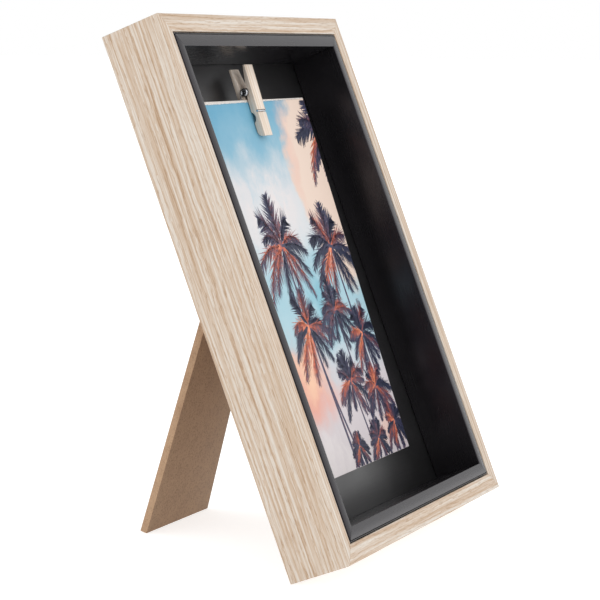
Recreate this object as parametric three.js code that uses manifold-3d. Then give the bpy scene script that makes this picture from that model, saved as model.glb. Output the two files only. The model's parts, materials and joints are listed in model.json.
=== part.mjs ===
// Table-top shadow-box photo frame: a mitred oak frame round a black liner box,
// a small sprung peg that holds a print in the box, and a folding easel leg.
// Millimetres, +Z up. The frame faces -Y and leans back on the leg.
import * as THREE from 'three';
import { mergeVertices } from 'three/addons/utils/BufferGeometryUtils.js';
import Module from 'manifold-3d';

const wasm = await Module();
wasm.setup();

// ---------------------------------------------------------------- Driving dimensions

// Oak frame. Inside the leaning group, Y runs from the front face at -FRAME_DEPTH
// to the rear plane at 0, and Z runs up the frame from its bottom face.
const FRAME_WIDTH = 162.6;
const FRAME_HEIGHT = 209;
const FRAME_DEPTH = 24.6;
const RAIL_WIDTH = 6.9;
const MITRE_GAP = 0.05;
const FIT_GAP = 0.3;

// Black liner: the strips that make the walls of the box, and the lip seen from the front.
const LIP_INNER_INSET = 12.5;
const SHADOW_GROOVE_WIDTH = 1.06;
const SHADOW_GROOVE_DEPTH = 2.2;
const BEAD_WIDTH = 0.32;
const BEAD_RECESS = 0.3;
const BEAD_TO_LIP = 0.22;

// Back of the box.
const PANEL_DEPTH = 20.5;
const PANEL_THICKNESS = 0.5;
const BOARD_THICKNESS = 2;

// Corner nails, pressed into the rear of each mitre.
const NAIL_THICKNESS = 0.5;
const NAIL_HEIGHT = 5;
const NAIL_INSET = 4.5;
const NAIL_ARM = 2.7;
const NAIL_SLOT_GAP = 0.2;
const NAIL_SUNK = 0.1;

// Steel tabs, driven into the inner faces of the rails over the backing board.
const TAB_THICKNESS = 0.4;
const TAB_WIDTH = 5;
const TAB_IN_RAIL = 4;
const TAB_OVER_BOARD = 7;
const TAB_SLOT_GAP = 0.2;
const TAB_CORNER = 1;
const TABS_FROM_MIDDLE = { rail: 42, stile: 62 };

// Easel leg. In the leg's group the pin is the origin and the leg hangs along -Z.
const LEG_THICKNESS = 3;
const LEG_OPEN_DEGREES = 37;
const LEG_BELOW_PIN = 133.8;
const LEG_ABOVE_PIN = 1.84;
const LEG_TOP_WIDTH = 38.5;
const LEG_FOOT_WIDTH = 54.6;
const PIN_HEIGHT = 141.3;
const PIN_OFF_BOARD = 5.2;

// Leg hinge.
const HINGE_WIDTH = 30;
const HINGE_SHEET = 0.8;
const KNUCKLE_RADIUS = 1.4;
const KNUCKLE_BORE = 0.9;
const PIN_RADIUS = 0.8;
const MIDDLE_KNUCKLE = 9.7;
const LEAF_LENGTH = 17;
const LEAF_ABOVE_PIN = 6;
const BOARD_RIVET_UP_LEAF = 8;
const LEG_RIVET_BELOW_PIN = 10;
const PIN_END = 0.8;
// The board leaf's web: its thickness along the slant, the shoulder above the knuckles, and
// where its two sides land on a knuckle, from the pin.
const SLANT_SHEET = 1.04;
const SHOULDER_ABOVE_PIN = 2.4;
const WEB_LINE_ABOVE_PIN = 1;
const WEB_OVERLAP = 0.4;
const WEB_UNDERSIDE_LANDING = [-0.3, 1.05];
const WEB_TOP_LANDING = [0.4, 1.3];
const RIVET_SPACING = 20;
const RIVET_RADIUS = 1.2;
const RIVET_HEAD_RADIUS = 2.3;
const RIVET_HEAD_HEIGHT = 0.9;
const RIVET_HEAD_EDGE = 0.15;
const LEG_HOLE_DEPTH = 2.4;

// Print. In its group, the front face is the plane y = 0 and the bottom edge is z = 0.
const PRINT_WIDTH = 100;
const PRINT_HEIGHT = 150;
const PRINT_THICKNESS = 0.4;
const PRINT_BOTTOM = 29.1;
const PRINT_BOTTOM_DEPTH = 19.4;
const PRINT_LEAN_DEGREES = 2.4;

// Peg. In its group the spring's axis is the origin, and the print's front face is y = 0.
const PEG_ABOVE_PRINT_BOTTOM = 153.2;
const PEG_WIDTH = 7.2;
const PEG_TOP = 10.3;
const PEG_TIP = -18.6;
const PEG_BACK_TOP = 3.4;
const PEG_BACK_TIP = 3.1;
const HANDLE_END_INNER = 2.5;
const JAW_TOP = -3.4;
const JAW_ROUND = 2.4;
const LINE_NOTCH_RADIUS = 2.6;
const LINE_NOTCH_DEPTH = 1.2;
const LINE_NOTCH_HEIGHT = -10.6;
const WIRE_GROOVE_HEIGHT = -8.5;
const WIRE_GROOVE_SIZE = 1.1;
const WIRE_GROOVE_DEPTH = 0.85;
const WIRE_RADIUS = 0.4;
const COIL_OUTER = 1.65;
const COIL_INNER = 0.85;
const PAD_WIDTH = 6.4;
const PAD_LOW = -17;
const PAD_HIGH = -5;

const ROUND_SEGMENTS = 24;

// ---------------------------------------------------------------- Worked-out places

const radians = THREE.MathUtils.degToRad;

const LIP_OUTER_INSET = RAIL_WIDTH + SHADOW_GROOVE_WIDTH;
const LINER_OUTER_INSET = RAIL_WIDTH + FIT_GAP;
const PANEL_FRONT = PANEL_DEPTH - FRAME_DEPTH;
const BOARD_FRONT = PANEL_FRONT + PANEL_THICKNESS + FIT_GAP;
const BOARD_BACK = BOARD_FRONT + BOARD_THICKNESS;
const TAB_REAR = BOARD_BACK + FIT_GAP + TAB_THICKNESS;
const PIN_BACK = BOARD_BACK + PIN_OFF_BOARD;

// The leg's rear face clears the hinge sheet, which wraps the knuckle's near side.
const LEG_REAR_FACE = -KNUCKLE_RADIUS - FIT_GAP;
const LEG_FRONT_FACE = LEG_REAR_FACE - LEG_THICKNESS;

// A point of the open leg, given in the leg's group, in the leaning group's (y, z).
function onOpenLeg(y, z) {
  const turned = new THREE.Vector2(y, z).rotateAround(new THREE.Vector2(), radians(LEG_OPEN_DEGREES));
  return turned.add(new THREE.Vector2(PIN_BACK, PIN_HEIGHT));
}

// The frame stands on its bottom rear edge and on the leg's foot, which sets how far it leans.
const footFront = onOpenLeg(LEG_FRONT_FACE, -LEG_BELOW_PIN);
const footRear = onOpenLeg(LEG_REAR_FACE, -LEG_BELOW_PIN);
const LEAN = Math.atan2(footFront.y, footFront.x);
const standingFront = -FRAME_DEPTH * Math.cos(LEAN);
const standingRear = footRear.x * Math.cos(LEAN) + footRear.y * Math.sin(LEAN);

// ---------------------------------------------------------------- Materials

function finish(color, roughness, metalness = 0) {
  return new THREE.MeshStandardMaterial({ color, roughness, metalness });
}

const oak = finish(0xd9c3a5, 0.6);
const blackLacquer = finish(0x4a484c, 0.45);
const blackCard = finish(0x1b1b1d, 0.6);
const rawBoard = finish(0x9a7f66, 0.9);
const steel = finish(0xb9bcc0, 0.3, 1);
const birch = finish(0xe2caa8, 0.65);
const foam = finish(0x202022, 0.9);
const printedCard = finish(0x8fb6c9, 0.5);

// ---------------------------------------------------------------- Shape helpers

function outline(points) {
  return new THREE.Shape(points.map(([x, y]) => new THREE.Vector2(x, y)));
}

function mapPositions(geometry, place) {
  const position = geometry.attributes.position;
  for (let i = 0; i < position.count; i += 1) {
    position.setXYZ(i, ...place(position.getX(i), position.getY(i), position.getZ(i)));
  }
  geometry.deleteAttribute('normal');
  geometry.deleteAttribute('uv');
  return geometry;
}

function extruded(shape, depth) {
  return new THREE.ExtrudeGeometry(shape, { depth, bevelEnabled: false, curveSegments: ROUND_SEGMENTS / 2 });
}

// A side view drawn in (y, z), extruded across X and centred on it.
function extrudeAcross(shape, width, centre = 0) {
  return mapPositions(extruded(shape, width), (y, z, x) => [x - width / 2 + centre, y, z]);
}

// A front view drawn in (x, z), extruded from the plane y = rear towards the front.
function extrudeForward(shape, depth, rear) {
  return mapPositions(extruded(shape, depth), (x, z, t) => [x, rear - t, z]);
}

function boxBetween(low, high) {
  const size = high.map((value, axis) => value - low[axis]);
  const middle = high.map((value, axis) => (value + low[axis]) / 2);
  return new THREE.BoxGeometry(...size).translate(...middle);
}

// A round bar along Y, from y = low to y = high.
function barAlongY(radius, low, high, x = 0, z = 0) {
  return new THREE.CylinderGeometry(radius, radius, high - low, ROUND_SEGMENTS).translate(x, (low + high) / 2, z);
}

// A round bar along X, centred on x = centre.
function barAlongX(radius, length, y = 0, z = 0, centre = 0) {
  return new THREE.CylinderGeometry(radius, radius, length, ROUND_SEGMENTS)
    .rotateZ(Math.PI / 2)
    .translate(centre, y, z);
}

// A turned piece on the Y axis, from a closed or axis-to-axis profile of (radius, y).
function turned(profile) {
  return new THREE.LatheGeometry(profile.map(([r, y]) => new THREE.Vector2(r, y)), ROUND_SEGMENTS);
}

// ---------------------------------------------------------------- Booleans

function solidOf(geometry) {
  const bare = geometry.clone();
  bare.deleteAttribute('normal');
  bare.deleteAttribute('uv');
  const merged = mergeVertices(bare);
  const mesh = new wasm.Mesh({
    numProp: 3,
    vertProperties: merged.attributes.position.array,
    triVerts: Uint32Array.from(merged.index.array),
  });
  return new wasm.Manifold(mesh);
}

function geometryOf(solid) {
  const mesh = solid.getMesh();
  const geometry = new THREE.BufferGeometry();
  geometry.setAttribute('position', new THREE.BufferAttribute(mesh.vertProperties, 3));
  geometry.setIndex(new THREE.BufferAttribute(mesh.triVerts, 1));
  return geometry;
}

function cut(geometry, ...tools) {
  return geometryOf(tools.reduce((solid, tool) => solid.subtract(solidOf(tool)), solidOf(geometry)));
}

function join(geometry, ...others) {
  return geometryOf(others.reduce((solid, other) => solid.add(solidOf(other)), solidOf(geometry)));
}

// ---------------------------------------------------------------- Scene graph helpers

function piece(name, geometry, material) {
  if (!geometry.attributes.normal) geometry.computeVertexNormals();
  const mesh = new THREE.Mesh(geometry, material);
  mesh.name = name;
  return mesh;
}

function groupAt(x, y, z) {
  const group = new THREE.Group();
  group.position.set(x, y, z);
  return group;
}

// ---------------------------------------------------------------- Mitred ring members

// A member of a mitred rectangular ring. Its section is drawn in (inset from the ring's
// outer edge, y). It lies along X with its outer face on z = 0.
function mitredMember(section, length) {
  return mapPositions(extruded(section, 1), (inset, y, t) => {
    const end = t < 0.5 ? 1 : -1;
    return [end * (length / 2 - inset - MITRE_GAP), y, inset];
  });
}

// The four sides of the ring: where each one lies and how it is turned about Y.
const HALF_WIDTH = FRAME_WIDTH / 2;
const HALF_HEIGHT = FRAME_HEIGHT / 2;
const RING_SIDES = [
  { kind: 'rail', side: 'bottom', length: FRAME_WIDTH, x: 0, z: 0, turn: 0 },
  { kind: 'rail', side: 'top', length: FRAME_WIDTH, x: 0, z: FRAME_HEIGHT, turn: Math.PI },
  { kind: 'stile', side: 'left', length: FRAME_HEIGHT, x: -HALF_WIDTH, z: HALF_HEIGHT, turn: Math.PI / 2 },
  { kind: 'stile', side: 'right', length: FRAME_HEIGHT, x: HALF_WIDTH, z: HALF_HEIGHT, turn: -Math.PI / 2 },
];

function placeInRing(mesh, { x, z, turn }) {
  mesh.position.set(x, 0, z);
  mesh.rotation.y = turn;
  return mesh;
}

function railSection() {
  return outline([
    [0, -FRAME_DEPTH], [RAIL_WIDTH, -FRAME_DEPTH], [RAIL_WIDTH, 0], [0, 0],
  ]);
}

// The slot for one arm of a corner nail, near the member's end on the side given by its sign.
function nailSlot(length, end) {
  const half = NAIL_THICKNESS / 2 + NAIL_SLOT_GAP;
  const along = end * (length / 2 - NAIL_INSET);
  return boxBetween(
    [along - half, -NAIL_HEIGHT - NAIL_SLOT_GAP, NAIL_INSET - NAIL_ARM - NAIL_SLOT_GAP],
    [along + half, 1, NAIL_INSET + half],
  );
}

// The slot that a tab is driven into, grown by a gap all round.
function tabSlot(along) {
  const half = TAB_WIDTH / 2 + TAB_SLOT_GAP;
  return boxBetween(
    [along - half, TAB_REAR - TAB_THICKNESS - TAB_SLOT_GAP, RAIL_WIDTH - TAB_IN_RAIL - TAB_SLOT_GAP],
    [along + half, TAB_REAR + TAB_SLOT_GAP, RAIL_WIDTH + 1],
  );
}

function oakMember(ringSide) {
  const { kind, side, length } = ringSide;
  const slots = [-1, 1].flatMap((end) => [nailSlot(length, end), tabSlot(end * TABS_FROM_MIDDLE[kind])]);
  const geometry = cut(mitredMember(railSection(), length), ...slots);
  return placeInRing(piece(`oak_${kind}_${side}`, geometry, oak), ringSide);
}

// The liner is narrow at the lip, so a groove shows between it and the oak.
// A fine bead stands in that groove, and the strip is full width below it.
function linerSection() {
  const front = -FRAME_DEPTH;
  const grooveFloor = front + SHADOW_GROOVE_DEPTH;
  const beadHigh = LIP_OUTER_INSET - BEAD_TO_LIP;
  const beadLow = beadHigh - BEAD_WIDTH;
  const rear = PANEL_FRONT - FIT_GAP;
  return outline([
    [LIP_OUTER_INSET, front], [LIP_INNER_INSET, front], [LIP_INNER_INSET, rear],
    [LINER_OUTER_INSET, rear], [LINER_OUTER_INSET, grooveFloor], [beadLow, grooveFloor],
    [beadLow, front + BEAD_RECESS], [beadHigh, front + BEAD_RECESS],
    [beadHigh, grooveFloor], [LIP_OUTER_INSET, grooveFloor],
  ]);
}

function linerStrip(ringSide) {
  const geometry = mitredMember(linerSection(), ringSide.length);
  return placeInRing(piece(`liner_${ringSide.side}`, geometry, blackLacquer), ringSide);
}

// An L-shaped corner nail at one end of a rail, with an arm in each of the two members
// that meet at the mitre.
function cornerNail(ringSide, end) {
  const half = NAIL_THICKNESS / 2;
  const near = NAIL_INSET - NAIL_ARM;
  const shape = outline([
    [near, NAIL_INSET - half], [NAIL_INSET - half, NAIL_INSET - half], [NAIL_INSET - half, near],
    [NAIL_INSET + half, near], [NAIL_INSET + half, NAIL_INSET + half], [near, NAIL_INSET + half],
  ].map(([fromEnd, inset]) => [end * (ringSide.length / 2 - fromEnd), inset]));
  const flip = ringSide.side === 'top' ? -1 : 1;
  const name = `corner_nail_${ringSide.side}_${end * flip < 0 ? 'left' : 'right'}`;
  return placeInRing(piece(name, extrudeForward(shape, NAIL_HEIGHT, -NAIL_SUNK), steel), ringSide);
}

// A pointed steel tab, half in the rail and half over the backing board.
function retainingTab(ringSide, end) {
  const half = TAB_WIDTH / 2;
  const along = end * TABS_FROM_MIDDLE[ringSide.kind];
  const tip = RAIL_WIDTH - TAB_IN_RAIL;
  const far = RAIL_WIDTH + TAB_OVER_BOARD;
  const shape = outline([
    [along, tip], [along + half, tip + half],
    [along + half, far - TAB_CORNER], [along + half - TAB_CORNER, far],
    [along - half + TAB_CORNER, far], [along - half, far - TAB_CORNER],
    [along - half, tip + half],
  ]);
  const name = `back_tab_${ringSide.side}_${end < 0 ? 1 : 2}`;
  return placeInRing(piece(name, extrudeForward(shape, TAB_THICKNESS, TAB_REAR), steel), ringSide);
}

// ---------------------------------------------------------------- Back of the box

function sheetInFrame(thickness, front) {
  return boxBetween(
    [LINER_OUTER_INSET - FRAME_WIDTH / 2, front, LINER_OUTER_INSET],
    [FRAME_WIDTH / 2 - LINER_OUTER_INSET, front + thickness, FRAME_HEIGHT - LINER_OUTER_INSET],
  );
}

const RIVET_SIDES = [['left', -RIVET_SPACING / 2], ['right', RIVET_SPACING / 2]];
const BOARD_LEAF_LOW = PIN_HEIGHT + LEAF_ABOVE_PIN;
const BOARD_RIVET_HEIGHT = BOARD_LEAF_LOW + BOARD_RIVET_UP_LEAF;
const LEG_RIVET_HEIGHT = -LEG_RIVET_BELOW_PIN;

function backingBoard() {
  const holes = RIVET_SIDES.map(([, x]) => (
    barAlongY(RIVET_RADIUS + FIT_GAP, BOARD_FRONT - 1, BOARD_BACK + 1, x, BOARD_RIVET_HEIGHT)
  ));
  return piece('backing_board', cut(sheetInFrame(BOARD_THICKNESS, BOARD_FRONT), ...holes), rawBoard);
}

// ---------------------------------------------------------------- Leg hinge

// A knuckle and the short web that ties it to its leaf, seen along the pin.
function knuckle(web, length, centre, y, z) {
  const tube = barAlongX(KNUCKLE_RADIUS, length, y, z, centre);
  const bore = barAlongX(KNUCKLE_BORE, length + 1, y, z, centre);
  return cut(join(tube, extrudeAcross(web, length, centre)), bore);
}

const KNUCKLE_CLEAR = KNUCKLE_RADIUS + FIT_GAP;
const OUTER_KNUCKLE = (HINGE_WIDTH - MIDDLE_KNUCKLE) / 2 - FIT_GAP;
const OUTER_KNUCKLE_CENTRE = (HINGE_WIDTH - OUTER_KNUCKLE) / 2;

// The leaf on the backing board: a flat plate, then a web that stands out to the pin.
function boardLeaf() {
  const plateFront = BOARD_BACK + FIT_GAP;
  const plateRear = plateFront + HINGE_SHEET;
  const shoulder = PIN_HEIGHT + SHOULDER_ABOVE_PIN;
  const slope = (LEAF_ABOVE_PIN - WEB_LINE_ABOVE_PIN) / (PIN_BACK - plateFront);
  const shoulderBack = PIN_BACK - (SHOULDER_ABOVE_PIN - WEB_LINE_ABOVE_PIN) / slope;
  const plateTop = BOARD_LEAF_LOW + LEAF_LENGTH;
  const plateAndWeb = outline([
    [plateFront, BOARD_LEAF_LOW], [shoulderBack, shoulder], [shoulderBack, shoulder + SLANT_SHEET],
    [plateRear, BOARD_LEAF_LOW + HINGE_SHEET], [plateRear, plateTop], [plateFront, plateTop],
  ]);
  const overlapBack = shoulderBack - WEB_OVERLAP;
  const overlap = shoulder + WEB_OVERLAP * slope;
  const onKnuckle = ([back, up]) => [PIN_BACK + back, PIN_HEIGHT + up];
  const knuckleWeb = outline([
    [overlapBack, overlap], onKnuckle(WEB_UNDERSIDE_LANDING), onKnuckle(WEB_TOP_LANDING),
    [overlapBack, overlap + SLANT_SHEET],
  ]);
  const knuckles = [-OUTER_KNUCKLE_CENTRE, OUTER_KNUCKLE_CENTRE].map((centre) => (
    knuckle(knuckleWeb, OUTER_KNUCKLE, centre, PIN_BACK, PIN_HEIGHT)
  ));
  const holes = RIVET_SIDES.map(([, x]) => (
    barAlongY(RIVET_RADIUS + FIT_GAP, plateFront - 1, plateRear + 1, x, BOARD_RIVET_HEIGHT)
  ));
  const leaf = join(extrudeAcross(plateAndWeb, HINGE_WIDTH), ...knuckles);
  return piece('hinge_board_leaf', cut(leaf, ...holes), steel);
}

// The leaf on the leg, in the leg's group.
function legLeaf() {
  const sheetFront = -KNUCKLE_RADIUS;
  const sheetRear = sheetFront + HINGE_SHEET;
  const plate = boxBetween(
    [-HINGE_WIDTH / 2, sheetFront, -LEAF_LENGTH],
    [HINGE_WIDTH / 2, sheetRear, -KNUCKLE_CLEAR - 0.1],
  );
  const web = outline([
    [sheetFront, -KNUCKLE_CLEAR - 1], [sheetRear, -KNUCKLE_CLEAR - 1], [sheetRear, -KNUCKLE_BORE],
    [-KNUCKLE_BORE, 0], [sheetFront, 0],
  ]);
  const holes = RIVET_SIDES.map(([, x]) => (
    barAlongY(RIVET_RADIUS + FIT_GAP, sheetFront - 1, sheetRear + 1, x, LEG_RIVET_HEIGHT)
  ));
  return piece('hinge_leg_leaf', cut(join(plate, knuckle(web, MIDDLE_KNUCKLE, 0, 0, 0)), ...holes), steel);
}

function hingePin() {
  return piece('hinge_pin', barAlongX(PIN_RADIUS, HINGE_WIDTH + 2 * PIN_END, PIN_BACK, PIN_HEIGHT), steel);
}

// A domed rivet. Its shank ends at y = inner, and its head stands on the sheet at y = outer.
function rivet(name, inner, outer, x, z) {
  const under = outer + FIT_GAP;
  const edge = under + RIVET_HEAD_EDGE;
  const dome = [0, 30, 60].map((degrees) => {
    const angle = radians(degrees);
    return [RIVET_HEAD_RADIUS * Math.cos(angle), edge + RIVET_HEAD_HEIGHT * Math.sin(angle)];
  });
  const geometry = turned([
    [0, inner], [RIVET_RADIUS, inner], [RIVET_RADIUS, under], [RIVET_HEAD_RADIUS, under],
    ...dome, [0, edge + RIVET_HEAD_HEIGHT],
  ]);
  const mesh = piece(name, geometry, steel);
  mesh.position.set(x, 0, z);
  return mesh;
}

// ---------------------------------------------------------------- Easel leg

function easelLeg() {
  const shape = outline([
    [-LEG_FOOT_WIDTH / 2, -LEG_BELOW_PIN], [LEG_FOOT_WIDTH / 2, -LEG_BELOW_PIN],
    [LEG_TOP_WIDTH / 2, LEG_ABOVE_PIN], [-LEG_TOP_WIDTH / 2, LEG_ABOVE_PIN],
  ]);
  const holeEnd = LEG_REAR_FACE - LEG_HOLE_DEPTH;
  const holes = RIVET_SIDES.map(([, x]) => (
    barAlongY(RIVET_RADIUS + FIT_GAP, holeEnd, LEG_REAR_FACE + 1, x, LEG_RIVET_HEIGHT)
  ));
  return piece('easel_leg', cut(extrudeForward(shape, LEG_THICKNESS, LEG_REAR_FACE), ...holes), rawBoard);
}

function legGroup() {
  const group = groupAt(0, PIN_BACK, PIN_HEIGHT);
  group.rotation.x = radians(LEG_OPEN_DEGREES);
  group.add(easelLeg(), legLeaf());
  for (const [side, x] of RIVET_SIDES) {
    const shankEnd = LEG_REAR_FACE - LEG_HOLE_DEPTH + FIT_GAP;
    group.add(rivet(`leg_rivet_${side}`, shankEnd, HINGE_SHEET - KNUCKLE_RADIUS, x, LEG_RIVET_HEIGHT));
  }
  return group;
}

// ---------------------------------------------------------------- Peg and print

// Both arms share one side view. The front arm lies in y < 0, and the rear arm is its
// mirror image about the middle of the print's thickness.
const mirrorSide = (y) => PRINT_THICKNESS - y;

function armOutline(side) {
  const jaw = -FIT_GAP;
  const roundStart = PEG_TIP + JAW_ROUND * 1.3;
  const shape = new THREE.Shape();
  shape.moveTo(side(-PEG_BACK_TIP), PEG_TIP);
  shape.lineTo(side(-PEG_BACK_TOP), PEG_TOP);
  shape.lineTo(side(-HANDLE_END_INNER), PEG_TOP - 0.3);
  shape.lineTo(side(jaw), JAW_TOP);
  shape.lineTo(side(jaw), roundStart);
  shape.quadraticCurveTo(side(jaw), PEG_TIP + 0.3, side(jaw - JAW_ROUND), PEG_TIP);
  return shape;
}

function pegArm(name, side) {
  const seat = barAlongX(COIL_OUTER + FIT_GAP, PEG_WIDTH + 2, PRINT_THICKNESS / 2, 0);
  const notchCentre = side(-FIT_GAP - LINE_NOTCH_DEPTH + LINE_NOTCH_RADIUS);
  const lineNotch = barAlongX(LINE_NOTCH_RADIUS, PEG_WIDTH + 2, notchCentre, LINE_NOTCH_HEIGHT);
  const wireGroove = new THREE.BoxGeometry(PEG_WIDTH + 2, 2 * WIRE_GROOVE_DEPTH, WIRE_GROOVE_SIZE)
    .translate(0, side(-pegBackAt(WIRE_GROOVE_HEIGHT)), WIRE_GROOVE_HEIGHT);
  return piece(name, cut(extrudeAcross(armOutline(side), PEG_WIDTH), seat, lineNotch, wireGroove), birch);
}

// How far an arm's outer face stands from the print's front face, at a height in the peg's group.
function pegBackAt(height) {
  return THREE.MathUtils.mapLinear(height, PEG_TIP, PEG_TOP, PEG_BACK_TIP, PEG_BACK_TOP);
}

// One tail of the spring: down the arm's side from the coil, then across its outer groove.
function springTail(side, across) {
  const beside = across * (PEG_WIDTH / 2 + FIT_GAP + WIRE_RADIUS + 0.05);
  const startY = side(PRINT_THICKNESS / 2 - COIL_OUTER + WIRE_RADIUS);
  const grooveY = side(-pegBackAt(WIRE_GROOVE_HEIGHT) + WIRE_RADIUS + 0.05);
  const corner = new THREE.Vector3(beside, grooveY, WIRE_GROOVE_HEIGHT);
  const start = new THREE.Vector3(beside, startY, 0);
  const bendStart = corner.clone().lerp(start, 0.16);
  const bendEnd = corner.clone().setX(beside - across * 1.4);
  const end = corner.clone().setX(-across * (PEG_WIDTH / 2 - 0.2));
  const path = new THREE.CurvePath();
  path.add(new THREE.LineCurve3(start, bendStart));
  path.add(new THREE.QuadraticBezierCurve3(bendStart, corner, bendEnd));
  path.add(new THREE.LineCurve3(bendEnd, end));
  const section = new THREE.Shape();
  section.absarc(0, 0, WIRE_RADIUS, 0, Math.PI * 2);
  return new THREE.ExtrudeGeometry(section, { extrudePath: path, steps: 30, curveSegments: 8, bevelEnabled: false });
}

const frontSide = (y) => y;

function springCoil() {
  const low = -(PEG_WIDTH / 2 + FIT_GAP + 2 * WIRE_RADIUS + 0.05);
  const high = PEG_WIDTH / 2;
  const ring = turned([
    [COIL_INNER, low], [COIL_OUTER, low], [COIL_OUTER, high], [COIL_INNER, high], [COIL_INNER, low],
  ]).rotateZ(-Math.PI / 2).translate(0, PRINT_THICKNESS / 2, 0);
  return piece('peg_spring', join(ring, springTail(mirrorSide, -1)), steel);
}

// The pad that carries the peg off the back panel. It is drawn in the leaning group.
function pegPad() {
  const printBottom = new THREE.Vector2(PRINT_BOTTOM_DEPTH - FRAME_DEPTH, PRINT_BOTTOM);
  const behindArm = [PAD_LOW, PAD_HIGH].map((height) => {
    const y = PRINT_THICKNESS + pegBackAt(height) + FIT_GAP;
    const point = new THREE.Vector2(y, PEG_ABOVE_PRINT_BOTTOM + height);
    return point.rotateAround(new THREE.Vector2(), radians(PRINT_LEAN_DEGREES)).add(printBottom);
  });
  const rear = PANEL_FRONT - FIT_GAP;
  const shape = outline([
    [behindArm[0].x, behindArm[0].y], [rear, behindArm[0].y], [rear, behindArm[1].y], [behindArm[1].x, behindArm[1].y],
  ]);
  return piece('peg_pad', extrudeAcross(shape, PAD_WIDTH), foam);
}

function printAndPeg() {
  const group = groupAt(0, PRINT_BOTTOM_DEPTH - FRAME_DEPTH, PRINT_BOTTOM);
  group.rotation.x = radians(PRINT_LEAN_DEGREES);
  const card = boxBetween([-PRINT_WIDTH / 2, 0, 0], [PRINT_WIDTH / 2, PRINT_THICKNESS, PRINT_HEIGHT]);
  const peg = groupAt(0, 0, PEG_ABOVE_PRINT_BOTTOM);
  peg.add(pegArm('peg_front_arm', frontSide), pegArm('peg_rear_arm', mirrorSide));
  peg.add(springCoil(), piece('peg_spring_tail', springTail(frontSide, 1), steel));
  group.add(piece('photo_print', card, printedCard), peg);
  return group;
}

// ---------------------------------------------------------------- Assembly

const frame = groupAt(0, -(standingFront + standingRear) / 2, 0);
frame.rotation.x = -LEAN;

for (const ringSide of RING_SIDES) {
  frame.add(oakMember(ringSide), linerStrip(ringSide));
  frame.add(retainingTab(ringSide, -1), retainingTab(ringSide, 1));
  if (ringSide.kind === 'rail') frame.add(cornerNail(ringSide, -1), cornerNail(ringSide, 1));
}
frame.add(piece('back_panel', sheetInFrame(PANEL_THICKNESS, PANEL_FRONT), blackCard), backingBoard());
frame.add(boardLeaf(), hingePin());
for (const [side, x] of RIVET_SIDES) {
  const sheetRear = BOARD_BACK + FIT_GAP + HINGE_SHEET;
  frame.add(rivet(`board_rivet_${side}`, BOARD_FRONT + 0.1, sheetRear, x, BOARD_RIVET_HEIGHT));
}
frame.add(legGroup(), printAndPeg(), pegPad());

const photoFrame = new THREE.Group();
photoFrame.add(frame);
photoFrame.updateMatrixWorld(true);

export default photoFrame;
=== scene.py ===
"""Looks for a table-top shadow-box photo frame: a mitred oak frame round a black box, a sprung
peg that holds a print of palm trees, and a folding easel leg behind."""

import json
import math
import random
from contextlib import contextmanager

import bmesh
import bpy
from mathutils import Matrix, Vector


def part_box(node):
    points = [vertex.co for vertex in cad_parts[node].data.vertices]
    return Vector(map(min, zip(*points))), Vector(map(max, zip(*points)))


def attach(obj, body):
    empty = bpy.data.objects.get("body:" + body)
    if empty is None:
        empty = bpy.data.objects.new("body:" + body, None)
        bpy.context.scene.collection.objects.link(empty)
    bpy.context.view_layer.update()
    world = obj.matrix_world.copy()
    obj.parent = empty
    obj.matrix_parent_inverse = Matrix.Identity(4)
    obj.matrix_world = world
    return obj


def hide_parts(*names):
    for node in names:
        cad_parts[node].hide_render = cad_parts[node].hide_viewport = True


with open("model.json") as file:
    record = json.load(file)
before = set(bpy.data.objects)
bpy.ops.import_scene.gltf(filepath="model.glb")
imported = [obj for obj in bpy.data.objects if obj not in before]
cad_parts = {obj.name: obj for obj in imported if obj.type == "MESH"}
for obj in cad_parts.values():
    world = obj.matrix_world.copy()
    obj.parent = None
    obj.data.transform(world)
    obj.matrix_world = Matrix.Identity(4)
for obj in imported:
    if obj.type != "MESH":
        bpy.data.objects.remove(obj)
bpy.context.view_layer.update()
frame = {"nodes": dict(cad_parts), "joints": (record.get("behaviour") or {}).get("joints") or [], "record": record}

# ------------------------------------------------------------------ Sizes, in millimetres

MM = 0.001

# The leaning frame's own space: X across, Y from the front face at -FRAME_DEPTH to the rear
# plane at 0, and Z up the frame from its bottom face.
FRAME_WIDTH = 162.6
FRAME_HEIGHT = 209
FRAME_DEPTH = 24.6
RAIL_WIDTH = 6.9
MITRE_GAP = 0.05
FIT_GAP = 0.3
OAK_ARRIS = 0.35
OAK_ARRIS_STEPS = 3
# How far a cutting block or rod runs past the face that it opens, how close points merge, and
# how far a point may be from the place that is looked for.
CUTTER_OVERRUN = 1
MERGE_DISTANCE = 0.001
NEAR_ENOUGH = 0.02
# A face looks along an axis, or an edge runs along one, when at least this share of it does.
FACE_STRAIGHT = 0.9
EDGE_STRAIGHT = 0.99

# Liner strips. An inset is measured in from the frame's outer edge.
LIP_OUTER_INSET = 7.96
LIP_INNER_INSET = 12.5
LINER_OUTER_INSET = RAIL_WIDTH + FIT_GAP
GROOVE_DEPTH = 2.2
BEAD_LOW_INSET = 7.42
BEAD_HIGH_INSET = 7.74
BEAD_RECESS = 0.3
BEAD_ARRIS = 0.08
BEAD_ARRIS_STEPS = 2
LIP_ARRIS = 0.3
LIP_ARRIS_STEPS = 3

# Back of the box.
PANEL_FRONT = -4.1
PANEL_THICKNESS = 0.5
PANEL_EDGE = 0.1
BOARD_FRONT = -3.3
BOARD_BACK = -1.3
BOARD_EDGE = 0.2
# A board is eased where its faces turn by more than this.
BOARD_CORNER_DEGREES = 60
BOARD_RIVET_HEIGHT = 155.3
BOARD_HOLE_LENGTH = 6
RIVET_SPREAD = 10
RIVET_HOLE_RADIUS = 1.5

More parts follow.
